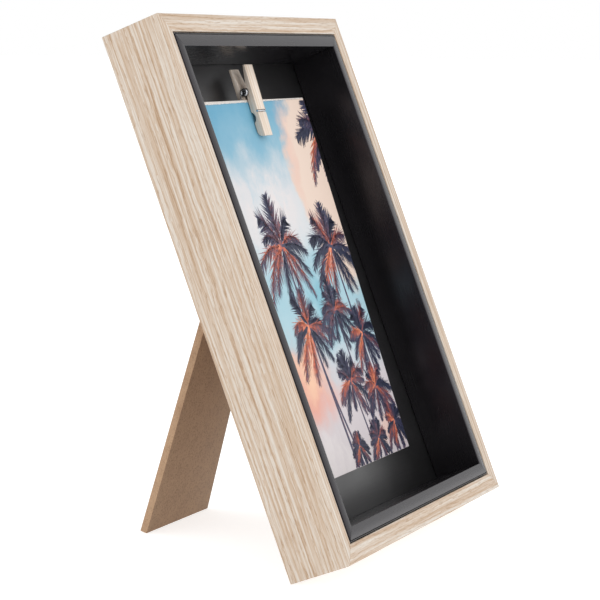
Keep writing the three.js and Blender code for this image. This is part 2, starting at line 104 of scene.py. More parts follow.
# Corner nails and retaining tabs, let into the oak, and the edges of all the steel fittings.
NAIL_INSET = 4.5
NAIL_ARM = 2.7
NAIL_HEIGHT = 5
NAIL_SLOT_HALF = 0.45
NAIL_SLOT_ROOM = 0.2
TAB_SLOT_HALF = 2.7
TAB_SLOT_FRONT = -1.2
TAB_SLOT_REAR = -0.4
TAB_IN_RAIL = 4.2
TABS_FROM_MIDDLE = {"rail": 42, "stile": 62}
TAB_AND_NAIL_EDGE = 0.08
HINGE_EDGE = 0.12
STEEL_CORNER_DEGREES = 40

# Easel leg, in its own space: the hinge pin is the origin and the leg hangs along -Z.
LEG_OPEN_DEGREES = 37
LEG_FRONT_FACE = -4.7
LEG_REAR_FACE = -1.7
LEG_BELOW_PIN = 133.8
LEG_ABOVE_PIN = 1.84
LEG_TOP_WIDTH = 38.5
LEG_FOOT_WIDTH = 54.6
LEG_RIVET_HEIGHT = -10
LEG_HOLE_DEPTH = 2.4
LEG_EDGE = 0.25

# Print, in its own space: the front face is y = 0 and the bottom edge is z = 0.
PRINT_WIDTH = 100
PRINT_HEIGHT = 150
PRINT_THICKNESS = 0.4
PRINT_BOTTOM = 29.1
PRINT_BOTTOM_DEPTH = 19.4
PRINT_LEAN_DEGREES = 2.4
CARD_EDGE = 0.05
# The bare, torn margin along the top edge, which narrows from left to right.
TORN_MARGIN_LEFT = 1.2
TORN_MARGIN_RIGHT = 0.3

# Peg, in its own space: the spring's axis is at z = 0 and the print's front face is y = 0.
PEG_ABOVE_PRINT_BOTTOM = 153.2
PEG_WIDTH = 7.2
PEG_TOP = 10.3
PEG_TIP = -18.6
PEG_BACK_TOP = 3.4
PEG_BACK_TIP = 3.1
HANDLE_END_INNER = 2.5
JAW_TOP = -3.4
JAW_ROUND = 2.4
JAW_STEPS = 8
PEG_EDGE = 0.14
PEG_BORE_SIDES = 48
COIL_SEAT_RADIUS = 1.95
NOTCH_RADIUS = 2.6
NOTCH_DEPTH = 1.2
NOTCH_HEIGHT = -10.6
WIRE_GROOVE_HEIGHT = -8.5
WIRE_GROOVE_SIZE = 1.1
WIRE_GROOVE_DEPTH = 0.85
WIRE_RADIUS = 0.4
WIRE_CLEARANCE = 0.05
WIRE_ROUNDNESS = 3
WIRE_SMOOTH_DEGREES = 50
COIL_RADIUS = 1.25
COIL_AXIS_Y = PRINT_THICKNESS / 2
COIL_START_DEGREES = 180
COIL_TURNS = 10.5
COIL_STEP_DEGREES = 20
LEAD_IN_STEPS = 14
TAIL_BESIDE = PEG_WIDTH / 2 + FIT_GAP + WIRE_RADIUS + WIRE_CLEARANCE
TAIL_BEND_RADIUS = 1.3
TAIL_BEND_STEPS = 6
TAIL_END_SHORT = 0.2
PAD_HALF_WIDTH = 3.2
PAD_LOW = -17
PAD_HIGH = -5
PAD_EDGE = 0.45
PAD_EDGE_STEPS = 4
PAD_SMOOTH_DEGREES = 60

# Palms on the print: crown's place across and up, reach of its fronds, foot's place across.
PALMS = [
    (-12, 91, 26, -3), (33, 87, 25, 41), (-10, 58, 22, 3), (18, 62, 18, 26), (38, 50, 18, 46),
    (13, 33, 17, 18), (35, 28, 15, 38), (3, 8, 9, 4), (23, 8, 11, 24), (43, 12, 12, 44),
    (58, 136, 27, 72),
]
PALM_SEED = 41
FRONDS = 13
LEAFLETS = 26
# Fronds go round the crown from the first angle, in steps that skip about the fan. Where two
# values are given, here and for the leaflets, each one is drawn at random between them.
FROND_START_DEGREES = -70
FROND_FAN_DEGREES = 320
FROND_SKIP = 5
FROND_SWAY_DEGREES = 7
FROND_SIZES = (0.8, 1.15)
FROND_DROOPS = (0.25, 0.62)
FROND_DROOP_POWER = 2.4
FROND_RISE = 0.85
FROND_ARCH = 0.12
# How brightly a frond is lit, from 0 to 1: towards the low sun at the left, as far as a frond
# that points this much to the right, and away from it.
SUNNY_SHADES = (0.15, 0.4, 0.65, 0.85)
SUNNY_UP_TO = 0.15
DIM_SHADES = (0.04, 0.1, 0.2, 0.6)
TRUNK_SHADES = (0.22, 0.42, 0.42, 0.22)
# How much brighter or darker than its frond a rib, a leaflet above or below it, and a tip are.
RIB_SHINE = 0.15
UPPER_SHINE = 0.12
LOWER_SHINE = -0.03
TIP_SHINE = -0.06
# Leaflets: where along the rib they start, how they spread from it and hang, and how long they are.
FIRST_LEAFLET = 0.12
LEAFLET_SPREADS = (0.35, 0.7)
LEAFLET_HANG = 0.35
LEAFLET_SHORTEST = 0.07
LEAFLET_SWELL = 0.24
LEAFLET_SIZES = (0.75, 1.15)
RIB_STEPS = 8
TRUNK_STEPS = 10
TRUNK_TAPER = 0.04
TRUNK_LEAN_BOW = 0.25
TRUNK_BOW = 1.2
# Half widths of a rib, a leaflet and a trunk, as shares of the palm's reach.
RIB_HALF = 0.022
LEAFLET_HALF = 0.028
TRUNK_HALF = 0.036
# Layers of ink stand this far apart, and their roots go this deep.
FIRST_LAYER = 0.02
FROND_LAYER = 0.0012
PALM_LAYER = 0.012
INK_ROOT = 0.3
INK_BORDER = 0.1

# Where each member's grain starts along its board.
GRAIN_STARTS = {"bottom": 900, "top": 2300, "left": 0, "right": 3700}

# Floor, light and camera. Places and sizes are in metres, the lens and sensor in millimetres.
FLOOR_SIZE = 60
FLOOR_GREY = 0.6
FLOOR_GLOW = 0.7
LIGHT_AIM = Vector((0, 0, 0.1))
KEY_PLACE = (-0.3, -1.5, 1.2)
KEY_SIZE = 1.0
KEY_WATTS = 5
CAMERA_AZIMUTH_DEGREES = 66.09
CAMERA_PITCH_DEGREES = -6.43
CAMERA_ROLL_DEGREES = 0.347
CAMERA_DISTANCE = 0.8916
CAMERA_AIM = Vector((-0.00075, -0.00093, 0.0924))
CAMERA_LENS = 136.5
CAMERA_SHIFT = (-0.001, 0.0028)
CAMERA_CLIP = (0.05, 100)
SENSOR_WIDTH = 36

# ------------------------------------------------------------------ Spaces

rear_face_axis = Vector(frame["record"]["mounts"][0]["axis"])
LEAN = math.atan2(-rear_face_axis.z, rear_face_axis.y)
frame_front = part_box("oak_rail_bottom")[0].y
FRAME_SPACE = (
    Matrix.Translation((0, frame_front + FRAME_DEPTH * MM * math.cos(LEAN), 0))
    @ Matrix.Rotation(-LEAN, 4, "X")
)


def shifted(space, x, y, z):
    """The same space with its origin moved, in millimetres along its own axes."""
    return space @ Matrix.Translation(Vector((x, y, z)) * MM)


pin_place = FRAME_SPACE.inverted() @ Vector(frame["joints"][0]["pos_m"])
LEG_SPACE = (
    FRAME_SPACE
    @ Matrix.Translation(pin_place)
    @ Matrix.Rotation(math.radians(LEG_OPEN_DEGREES), 4, "X")
)
PRINT_SPACE = (
    shifted(FRAME_SPACE, 0, PRINT_BOTTOM_DEPTH - FRAME_DEPTH, PRINT_BOTTOM)
    @ Matrix.Rotation(math.radians(PRINT_LEAN_DEGREES), 4, "X")
)
PEG_SPACE = shifted(PRINT_SPACE, 0, 0, PEG_ABOVE_PRINT_BOTTOM)

# The four members of a ring lie along X in their own space, with the outer face on z = 0.
RING = [
    ("bottom", "rail", FRAME_WIDTH, 0, 0, 0),
    ("top", "rail", FRAME_WIDTH, 0, FRAME_HEIGHT, math.pi),
    ("left", "stile", FRAME_HEIGHT, -FRAME_WIDTH / 2, FRAME_HEIGHT / 2, math.pi / 2),
    ("right", "stile", FRAME_HEIGHT, FRAME_WIDTH / 2, FRAME_HEIGHT / 2, -math.pi / 2),
]


# ------------------------------------------------------------------ Node helpers


def tone(code):
    """A colour as a shader takes it, from its usual six-figure code."""
    shares = [int(code[i:i + 2], 16) / 255 for i in (0, 2, 4)]
    return [s / 12.92 if s <= 0.04045 else ((s + 0.055) / 1.055) ** 2.4 for s in shares] + [1]


def node(tree, kind, feeds=None, **settings):
    """A new node, with its settings made and its sockets linked or set."""
    made = tree.nodes.new(kind)
    for setting, value in settings.items():
        setattr(made, setting, value)
    for socket, value in (feeds or {}).items():
        if isinstance(value, bpy.types.NodeSocket):
            tree.links.new(value, made.inputs[socket])
        else:
            made.inputs[socket].default_value = value
    return made


def maths(tree, operation, first, second=0.0):
    return node(tree, "ShaderNodeMath", {0: first, 1: second}, operation=operation).outputs[0]


def vector_maths(tree, operation, first, second):
    made = node(tree, "ShaderNodeVectorMath", {0: first, 1: second}, operation=operation)
    return made.outputs["Value" if operation == "LENGTH" else "Vector"]


def mixed(tree, factor, first, second):
    """A mix of two colours. Its sockets go by number, because each kind of mix uses the same names."""
    return node(tree, "ShaderNodeMix", {0: factor, 6: first, 7: second}, data_type="RGBA").outputs[2]


def noise(tree, vector, scale, detail=2.0, roughness=0.5):
    feeds = {"Vector": vector, "Scale": scale, "Detail": detail, "Roughness": roughness}
    return node(tree, "ShaderNodeTexNoise", feeds).outputs[0]


def mapped(tree, value, low, high, to_low=0.0, to_high=1.0, eased=False):
    kind = "SMOOTHSTEP" if eased else "LINEAR"
    feeds = {0: value, 1: low, 2: high, 3: to_low, 4: to_high}
    return node(tree, "ShaderNodeMapRange", feeds, interpolation_type=kind).outputs[0]


def ramp(tree, factor, stops):
    made = node(tree, "ShaderNodeValToRGB", {0: factor})
    elements = made.color_ramp.elements
    while len(elements) < len(stops):
        elements.new(0.5)
    for element, (place, code) in zip(elements, stops):
        element.position = place
        element.color = tone(code)
    return made.outputs[0]


def stretched(tree, vector, x, y, z):
    return vector_maths(tree, "MULTIPLY", vector, (x, y, z))


def new_group(name, inputs, outputs):
    """A shader node group, and its input and output sockets by name."""
    tree = bpy.data.node_groups.new(name, "ShaderNodeTree")
    for label, kind, default in inputs:
        socket = tree.interface.new_socket(label, in_out="INPUT", socket_type="NodeSocket" + kind)
        if default is not None:
            socket.default_value = default
    for label, kind in outputs:
        tree.interface.new_socket(label, in_out="OUTPUT", socket_type="NodeSocket" + kind)
    return tree, tree.nodes.new("NodeGroupInput").outputs, tree.nodes.new("NodeGroupOutput").inputs


def placed(tree, group, **feeds):
    """A group placed in a material. Spaces in its socket names are written as underscores."""
    made = tree.nodes.new("ShaderNodeGroup")
    made.node_tree = group
    for label, value in feeds.items():
        socket = made.inputs[label.replace("_", " ")]
        if isinstance(value, bpy.types.NodeSocket):
            tree.links.new(value, socket)
        else:
            socket.default_value = value
    return made.outputs


# ------------------------------------------------------------------ Node groups


# How the rings sway: by how much, how often along and across the grain, and in what detail.
GRAIN_SWAYS = [(3.5, 0.009, 0.04, 2.0), (1.5, 0.07, 0.16, 3.0), (0.7, 0.2, 0.5, 2.0)]


def make_wood_grain():
    """Long grain along X, in millimetres: irregular rings round a distant heart, streaks,
    fine fibres and short open pores."""
    tree, given, out = new_group(
        "wood_grain",
        [
            ("Vector", "Vector", None), ("Heart", "Vector", (0, 30, 60)),
            ("Ring Width", "Float", 1.6), ("Waviness", "Float", 3.0),
            ("Light", "Color", tone("EADFD2")), ("Middle", "Color", tone("D9C6B2")),
            ("Dark", "Color", tone("BE9F80")), ("Pore Depth", "Float", 0.5),
        ],
        [("Color", "Color"), ("Tone", "Float"), ("Height", "Float")],
    )
    point = given["Vector"]
    sway = 0.0
    for push, along, across, detail in GRAIN_SWAYS:
        wander = noise(tree, stretched(tree, point, along, across, across), 1.0, detail)
        wander = maths(tree, "MULTIPLY", maths(tree, "SUBTRACT", wander, 0.5), push)
        sway = maths(tree, "ADD", sway, wander)
    from_heart = vector_maths(tree, "SUBTRACT", point, given["Heart"])
    out_from_heart = vector_maths(tree, "LENGTH", stretched(tree, from_heart, 0, 1, 1), (0, 0, 0))
    swayed = maths(tree, "ADD", out_from_heart, maths(tree, "MULTIPLY", sway, given["Waviness"]))
    ring_place = maths(tree, "DIVIDE", swayed, given["Ring Width"])
    fibres = noise(tree, stretched(tree, point, 0.06, 2.6, 2.6), 1.0, 4.0, 0.7)
    streaks = noise(tree, stretched(tree, point, 0.01, 1.0, 1.0), 1.0, 2.0, 0.6)
    ring_point = node(tree, "ShaderNodeCombineXYZ", {0: ring_place}).outputs[0]
    years = noise(tree, ring_point, 0.45, 2.0)
    fade = noise(tree, ring_point, 0.9, 1.0)
    count = maths(tree, "ADD", ring_place, maths(tree, "MULTIPLY", years, 3.0))
    count = maths(tree, "ADD", count, maths(tree, "MULTIPLY", fibres, 0.5))
    late = mapped(tree, maths(tree, "FRACT", count), 0.35, 1.0)
    strength = mapped(tree, fade, 0.3, 0.7, 0.35, 1.0)
    rings = maths(tree, "MULTIPLY", maths(tree, "POWER", late, 2.5), strength)
    bands = mapped(tree, streaks, 0.34, 0.66, -0.1, 0.55)
    depth = maths(tree, "ADD", maths(tree, "MULTIPLY", rings, 0.68), bands)
    depth = maths(tree, "ADD", depth, mapped(tree, fibres, 0.3, 0.7, -0.2, 0.3))
    light_half = mixed(tree, mapped(tree, depth, 0.0, 0.5), given["Light"], given["Middle"])
    colour = mixed(tree, mapped(tree, depth, 0.5, 1.1), light_half, given["Dark"])
    dashes = noise(tree, stretched(tree, point, 0.22, 1.9, 1.9), 1.0, 2.0)
    pores = mapped(tree, dashes, 0.54, 0.66)
    pores = maths(tree, "MULTIPLY", pores, mapped(tree, rings, 0.0, 0.3, 0.35, 1.0))
    pores = maths(tree, "MULTIPLY", pores, given["Pore Depth"])
    tree.links.new(mixed(tree, pores, colour, tone("8E6F52")), out["Color"])
    tree.links.new(depth, out["Tone"])
    high = maths(tree, "SUBTRACT", maths(tree, "MULTIPLY", fibres, 0.5), pores)
    tree.links.new(maths(tree, "SUBTRACT", high, maths(tree, "MULTIPLY", depth, 0.1)), out["Height"])
    return tree


def make_fine_specks():
    """A pressed or moulded surface seen close: soft mottling, and small dark specks."""
    tree, given, out = new_group(
        "fine_specks",
        [("Vector", "Vector", None), ("Speck Scale", "Float", 1.5), ("Mottle Scale", "Float", 0.12),
         ("Speck Share", "Float", 0.3)],
        [("Mottle", "Float"), ("Specks", "Float"), ("Height", "Float")],
    )
    mottle = noise(tree, given["Vector"], given["Mottle Scale"], 3.0, 0.6)
    grit = noise(tree, given["Vector"], given["Speck Scale"], 3.0, 0.7)
    start = maths(tree, "SUBTRACT", 0.8, given["Speck Share"])
    specks = mapped(tree, grit, start, maths(tree, "ADD", start, 0.12))
    tree.links.new(mapped(tree, mottle, 0.3, 0.7), out["Mottle"])
    tree.links.new(specks, out["Specks"])
    tree.links.new(maths(tree, "ADD", grit, maths(tree, "MULTIPLY", mottle, 0.5)), out["Height"])
    return tree


def make_soft_patch():
    """A soft-edged oval: 1 at its centre and 0 outside its size."""
    tree, given, out = new_group(
        "soft_patch",
        [("Vector", "Vector", None), ("Centre", "Vector", (0, 0, 0)), ("Size", "Vector", (10, 10, 10)),
         ("Edge", "Float", 0.6)],
        [("Mask", "Float")],
    )
    offset = vector_maths(tree, "SUBTRACT", given["Vector"], given["Centre"])
    scaled = vector_maths(tree, "DIVIDE", offset, given["Size"])
    away = vector_maths(tree, "LENGTH", scaled, (0, 0, 0))
    inner = maths(tree, "SUBTRACT", 1.0, given["Edge"])
    tree.links.new(mapped(tree, away, inner, 1.0, 1.0, 0.0, eased=True), out["Mask"])
    return tree


def make_rubbed():
    """Faint long rub marks and finger bloom on a smooth surface, as a change in roughness."""
    tree, given, out = new_group(
        "rubbed",
        [("Vector", "Vector", None), ("Base", "Float", 0.4), ("Spread", "Float", 0.1)],
        [("Roughness", "Float"), ("Height", "Float")],
    )
    bloom = noise(tree, given["Vector"], 0.05, 3.0, 0.6)
    marks = noise(tree, stretched(tree, given["Vector"], 0.08, 2.5, 2.5), 1.0, 2.0)
    both = maths(tree, "ADD", maths(tree, "MULTIPLY", bloom, 0.6), maths(tree, "MULTIPLY", marks, 0.4))
    change = maths(tree, "MULTIPLY", mapped(tree, both, 0.3, 0.7, -1.0, 1.0), given["Spread"])
    tree.links.new(maths(tree, "ADD", given["Base"], change), out["Roughness"])
    tree.links.new(noise(tree, given["Vector"], 1.3, 2.0), out["Height"])
    return tree


wood_grain = make_wood_grain()
fine_specks = make_fine_specks()
soft_patch = make_soft_patch()
rubbed = make_rubbed()

# ------------------------------------------------------------------ Materials


def new_material(name, space, **constants):
    """A material, its shader, and a point in millimetres in a piece's own space."""
    material = bpy.data.materials.new(name)
    material.use_nodes = True
    tree = material.node_tree
    shader = tree.nodes["Principled BSDF"]
    for label, value in constants.items():
        shader.inputs[label.replace("_", " ")].default_value = value
    own = tree.nodes.new("ShaderNodeTexCoord").outputs["Object"]
    mapping = node(tree, "ShaderNodeMapping", {"Vector": own}, vector_type="TEXTURE")
    mapping.inputs["Location"].default_value = space.translation
    mapping.inputs["Rotation"].default_value = space.to_euler()
    mapping.inputs["Scale"].default_value = (MM, MM, MM)
    return material, tree, shader, mapping.outputs[0]


def coat(tree, shader, colour, roughness):
    """Gives a surface its colour and its roughness, point by point."""
    tree.links.new(colour, shader.inputs["Base Color"])
    tree.links.new(roughness, shader.inputs["Roughness"])


def bumped(tree, shader, height, strength, distance):
    """Raises the surface by a height, over a distance in millimetres."""
    feeds = {"Height": height, "Strength": strength, "Distance": distance * MM}
    tree.links.new(node(tree, "ShaderNodeBump", feeds).outputs[0], shader.inputs["Normal"])


def speckled(tree, point, speck_scale, mottle_scale, speck_share):
    """The outputs of fine_specks, placed with these values."""
    return placed(
        tree, fine_specks, Vector=point,
        Speck_Scale=speck_scale, Mottle_Scale=mottle_scale, Speck_Share=speck_share,
    )


def oak_material(side, space, start):
    """Oak with its grain along one member. Each member is cut from its own part of a board."""
    material, tree, shader, point = new_material("oak_" + side, shifted(space, start, 0, 0), IOR=1.45)
    grain = placed(
        tree, wood_grain, Vector=point, Heart=(0, 26, 58), Ring_Width=1.3, Waviness=1.25,
        Light=tone("D3CABF"), Middle=tone("C1AB95"), Dark=tone("A38364"), Pore_Depth=0.4,
    )
    coat(tree, shader, grain["Color"], mapped(tree, grain["Tone"], 0, 1, 0.52, 0.66))
    bumped(tree, shader, grain["Height"], 0.4, 0.05)
    return material


def birch_material():
    upright = Matrix.Rotation(math.radians(-90), 4, "Y")
    material, tree, shader, point = new_material("birch", PEG_SPACE @ upright, IOR=1.45)
    grain = placed(
        tree, wood_grain, Vector=point, Heart=(0, 22, 14), Ring_Width=0.9, Waviness=0.4,
        Light=tone("E3D7CB"), Middle=tone("DBCBBB"), Dark=tone("CDB89F"), Pore_Depth=0.12,
    )
    coat(tree, shader, grain["Color"], mapped(tree, grain["Tone"], 0, 1, 0.55, 0.7))
    bumped(tree, shader, grain["Height"], 0.3, 0.03)
    return material


def lacquer_material(side, space):
    """Satin black lacquer, a little greyer where it is rubbed."""
    material, tree, shader, point = new_material(
        "lacquer_" + side, space, IOR=1.49, Specular_Tint=(0.98, 0.92, 1, 1),
    )
    rub = placed(tree, rubbed, Vector=point, Base=0.26, Spread=0.03)
    specks = speckled(tree, point, 1.8, 0.08, 0.16)
    colour = mixed(tree, specks["Mottle"], tone("100F11"), tone("171618"))
    colour = mixed(tree, specks["Specks"], colour, tone("242326"))
    coat(tree, shader, colour, rub["Roughness"])
    bumped(tree, shader, specks["Height"], 0.1, 0.012)
    return material


def card_material():
    """Black card of the back panel, with a faint pressed texture."""
    material, tree, shader, point = new_material("black_card", FRAME_SPACE, IOR=1.75)
    rub = placed(tree, rubbed, Vector=point, Base=0.37, Spread=0.05)
    specks = speckled(tree, point, 2.2, 0.05, 0.22)
    colour = mixed(tree, specks["Mottle"], tone("141415"), tone("1B1A1C"))
    colour = mixed(tree, specks["Specks"], colour, tone("29282A"))
    coat(tree, shader, colour, rub["Roughness"])
    bumped(tree, shader, specks["Height"], 0.25, 0.03)
    return material


def board_material(name, space, light, dark, speck):
    """Raw fibreboard: matt, mottled, with dark fibres pressed into it."""
    material, tree, shader, point = new_material(name, space, IOR=1.4)
    specks = speckled(tree, point, 1.6, 0.16, 0.3)
    colour = mixed(tree, specks["Mottle"], tone(dark), tone(light))
    colour = mixed(tree, maths(tree, "MULTIPLY", specks["Specks"], 0.4), colour, tone(speck))
    coat(tree, shader, colour, mapped(tree, specks["Mottle"], 0, 1, 0.82, 0.94))
    bumped(tree, shader, specks["Height"], 0.35, 0.08)
    return material


def steel_material(name, light, dark, base_roughness):
    """Plated steel with faint rub marks."""
    material, tree, shader, point = new_material(name, FRAME_SPACE, Metallic=1.0)
    rub = placed(tree, rubbed, Vector=point, Base=base_roughness, Spread=0.08)
    specks = speckled(tree, point, 2.5, 0.3, 0.18)
    coat(tree, shader, mixed(tree, specks["Mottle"], tone(dark), tone(light)), rub["Roughness"])
    bumped(tree, shader, rub["Height"], 0.1, 0.02)
    return material


def foam_material():
    material, tree, shader, point = new_material("foam", FRAME_SPACE, IOR=1.4)
    specks = speckled(tree, point, 3.0, 0.4, 0.3)
    colour = mixed(tree, specks["Specks"], tone("2A2A2C"), tone("121213"))
    coat(tree, shader, colour, mapped(tree, specks["Mottle"], 0, 1, 0.85, 0.95))
    bumped(tree, shader, specks["Height"], 0.6, 0.15)
    return material


# Patches of colour in the sky: centre, size, softness, colour and strength.
SKY_PATCHES = [
    ((48, 0, 116), (34, 90, 50), 0.22, "E0CABB", 1.0),
    ((22, 0, 124), (7, 60, 34), 0.9, "DDB4A5", 0.5),
    ((12, 0, 66), (16, 60, 26), 0.8, "76B0C0", 0.8),
    ((-26, 0, 36), (32, 60, 23), 0.85, "DFA08F", 1.0),
    ((-22, 0, 42), (19, 60, 12), 0.9, "EEC2A2", 0.9),
    ((34, 0, 10), (24, 60, 9), 0.8, "E0BAAA", 0.7),
]


def sky_material():
    """The print's face: an evening sky, blue above, with a tall peach cloud at the right, grey
    and white cloud across the middle and a pink glow low at the left."""
    material, tree, shader, point = new_material("printed_sky", PRINT_SPACE, IOR=1.45)
    feeds = {"Vector": point, "Scale": 0.05, "Detail": 6.0, "Roughness": 0.6}
    billow = node(tree, "ShaderNodeTexNoise", feeds)
    push = vector_maths(tree, "SUBTRACT", billow.outputs["Color"], (0.5, 0.5, 0.5))
    blown = vector_maths(tree, "ADD", point, stretched(tree, push, 34, 0, 34))
    height = node(tree, "ShaderNodeSeparateXYZ", {0: blown}).outputs[2]
    sky = ramp(tree, mapped(tree, height, 0, PRINT_HEIGHT), [
        (0.0, "BDB4B8"), (0.2, "CFC7CA"), (0.36, "A9C8D2"), (0.5, "9CC2CE"),
        (0.63, "C2CFD5"), (0.74, "B9CAD3"), (0.84, "86B1C4"), (1.0, "5A9DBB"),
    ])
    wisps = noise(tree, stretched(tree, blown, 0.05, 0.05, 0.024), 1.0, 6.0, 0.62)
    cloud = placed(tree, soft_patch, Vector=blown, Centre=(-14, 0, 106), Size=(52, 60, 32), Edge=0.8)
    haze = placed(tree, soft_patch, Vector=blown, Centre=(-32, 0, 4), Size=(60, 60, 22), Edge=0.7)
    clouds = maths(tree, "ADD", cloud["Mask"], maths(tree, "MULTIPLY", haze["Mask"], 0.7))
    cloud_share = maths(tree, "MULTIPLY", clouds, mapped(tree, wisps, 0.3, 0.52))
    colour = mixed(tree, cloud_share, sky, tone("DBD4D3"))
    for centre, size, edge, code, share in SKY_PATCHES:
        patch = placed(tree, soft_patch, Vector=blown, Centre=centre, Size=size, Edge=edge)
        colour = mixed(tree, maths(tree, "MULTIPLY", patch["Mask"], share), colour, tone(code))
    # Along the top edge a thin painted shadow lies just under the bare torn card, and the bare torn card follows
    # above it.
    own = node(tree, "ShaderNodeSeparateXYZ", {0: point}).outputs
    margin = mapped(
        tree, own[0], -PRINT_WIDTH / 2, PRINT_WIDTH / 2, TORN_MARGIN_LEFT, TORN_MARGIN_RIGHT,
    )
    fringe = noise(tree, point, 1.4, 4.0, 0.7)
    torn = maths(tree, "ADD", own[2], mapped(tree, fringe, 0.3, 0.7, -0.3, 0.3))
    torn = maths(tree, "ADD", torn, margin)
    # A dark blue-grey band is painted in here as the shadow of the torn card's edge.
    painted_shadow_line = mapped(tree, torn, PRINT_HEIGHT - 0.4, PRINT_HEIGHT - 0.2, 0, 0.35)
    colour = mixed(tree, painted_shadow_line, colour, tone("3B4A55"))
    bare = mixed(tree, mapped(tree, fringe, 0.35, 0.65), tone("BDB6B0"), tone("E2DCD6"))
    colour = mixed(tree, mapped(tree, torn, PRINT_HEIGHT - 0.15, PRINT_HEIGHT), colour, bare)
    specks = speckled(tree, point, 2.0, 0.05, 0.1)
    coat(tree, shader, colour, mapped(tree, specks["Mottle"], 0, 1, 0.42, 0.5))
    bumped(tree, shader, specks["Height"], 0.1, 0.02)
    return material


def paper_material():
    """The card's white back and cut edges."""
    material, tree, shader, point = new_material("white_card", PRINT_SPACE, IOR=1.45)
    specks = speckled(tree, point, 1.6, 0.1, 0.2)
    colour = mixed(tree, specks["Specks"], tone("DCD6D0"), tone("A9A4A0"))
    coat(tree, shader, colour, mapped(tree, specks["Mottle"], 0, 1, 0.7, 0.85))
    bumped(tree, shader, specks["Height"], 0.3, 0.05)
    return material


def palm_material():
    """The printed palms: navy in shade, orange where the low sun catches them."""
    material, tree, shader, point = new_material("printed_palms", PRINT_SPACE, IOR=1.45)
    glow = node(tree, "ShaderNodeAttribute", attribute_name="glow").outputs["Fac"]
    flicker = noise(tree, point, 0.5, 3.0, 0.6)
    lit = maths(tree, "ADD", glow, mapped(tree, flicker, 0.3, 0.7, -0.16, 0.16))
    colour = ramp(tree, lit, [
        (0.0, "222942"), (0.3, "3A3A57"), (0.55, "704955"), (0.78, "BE5F48"), (1.0, "E78E6A"),
    ])
    coat(tree, shader, colour, mapped(tree, flicker, 0.3, 0.7, 0.42, 0.5))
    return material


# ------------------------------------------------------------------ Modelling helpers


def activate(piece):
    bpy.ops.object.select_all(action="DESELECT")
    piece.select_set(True)
    bpy.context.view_layer.objects.active = piece


@contextmanager
def editing(piece):
    """Edit mode on one piece, with nothing selected at first."""
    activate(piece)
    bpy.ops.object.mode_set(mode="EDIT")
    bpy.ops.mesh.select_all(action="DESELECT")
    yield
    bpy.ops.object.mode_set(mode="OBJECT")


def pick(kind, wanted):
    """Selects the faces or edges in edit mode that a test wants."""
    bpy.ops.mesh.select_mode(type=kind)
    bpy.ops.mesh.select_all(action="DESELECT")
    mesh = bmesh.from_edit_mesh(bpy.context.object.data)
    for part in {"FACE": mesh.faces, "EDGE": mesh.edges}[kind]:
        part.select_set(wanted(part))
    mesh.select_flush_mode()
    bmesh.update_edit_mesh(bpy.context.object.data)


def near(value, wanted):
    """Whether a length in metres is a wanted number of millimetres."""
    return abs(value - wanted * MM) < NEAR_ENOUGH * MM


def runs_across(edge):
    """Whether an edge runs along X."""
    run = edge.verts[1].co - edge.verts[0].co
    return abs(run.x) > EDGE_STRAIGHT * run.length


def faces_front(face):
    """Whether a face looks along -Y."""
    return face.normal.y < -FACE_STRAIGHT


def named(piece, name):
    piece.name = name
    piece.data.name = name
    return piece


def block(name, low, high):
    """A block between two corners, in millimetres."""
    low, high = Vector(low) * MM, Vector(high) * MM
    bpy.ops.object.select_all(action="DESELECT")
    bpy.ops.mesh.primitive_cube_add(size=1, location=(low + high) / 2, scale=high - low)
    bpy.ops.object.transform_apply(location=True, rotation=True, scale=True)
    return named(bpy.context.object, name)


AXIS_TURNS = {"X": (0, math.pi / 2, 0), "Y": (math.pi / 2, 0, 0)}


def rod(name, axis, radius, length, centre, sides=32):
    """A round bar along X or Y, in millimetres."""
    bpy.ops.object.select_all(action="DESELECT")
    bpy.ops.mesh.primitive_cylinder_add(
        vertices=sides, radius=radius * MM, depth=length * MM,
        location=Vector(centre) * MM, rotation=AXIS_TURNS[axis],
    )
    bpy.ops.object.transform_apply(location=True, rotation=True, scale=True)
    return named(bpy.context.object, name)


def apply_modifier(piece, kind, **settings):
    activate(piece)
    modifier = piece.modifiers.new(kind.lower(), kind)
    for setting, value in settings.items():
        setattr(modifier, setting, value)
    bpy.ops.object.modifier_apply(modifier=modifier.name)


def cut_out(piece, *tools):
    """Cuts tools out of a piece, and removes them."""
    for tool in tools:
        apply_modifier(piece, "BOOLEAN", operation="DIFFERENCE", object=tool, solver="EXACT")
        bpy.data.objects.remove(tool)


def soften(piece, width, segments=2, degrees=35):
    """Eases every sharp edge by a width in millimetres."""
    apply_modifier(
        piece, "BEVEL", width=width * MM, segments=segments,
        limit_method="ANGLE", angle_limit=math.radians(degrees), use_clamp_overlap=True,
    )
    return piece


def smooth(piece, degrees=32):
    activate(piece)
    bpy.ops.object.shade_smooth_by_angle(angle=math.radians(degrees))
    return piece


def slice_off(piece, point, normal):
    """Cuts away what lies beyond a plane, which is given in millimetres, and closes the cut."""
    with editing(piece):
        bpy.ops.mesh.select_all(action="SELECT")
        bpy.ops.mesh.bisect(
            plane_co=Vector(point) * MM, plane_no=normal, use_fill=True, clear_outer=True,
        )


def mitre_ends(piece, length):
    for end in (-1, 1):
        slice_off(piece, (end * (length / 2 - MITRE_GAP), 0, 0), (end, 0, 1))


def set_in(piece, space):
    """Moves a finished mesh from its own space to its place."""
    activate(piece)
    piece.matrix_world = space @ piece.matrix_world
    bpy.ops.object.transform_apply(location=True, rotation=True, scale=True)
    return piece


def paint(piece, *materials):
    piece.data.materials.clear()
    for material in materials:
        piece.data.materials.append(material)


def hand_over(piece, body, slot, *nodes):
    """Ties a finished piece to its body and hides the nodes that it stands for. Its finish, the slot argument, is
    not used.
    """
    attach(piece, body)
    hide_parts(*nodes)


# ------------------------------------------------------------------ Oak frame


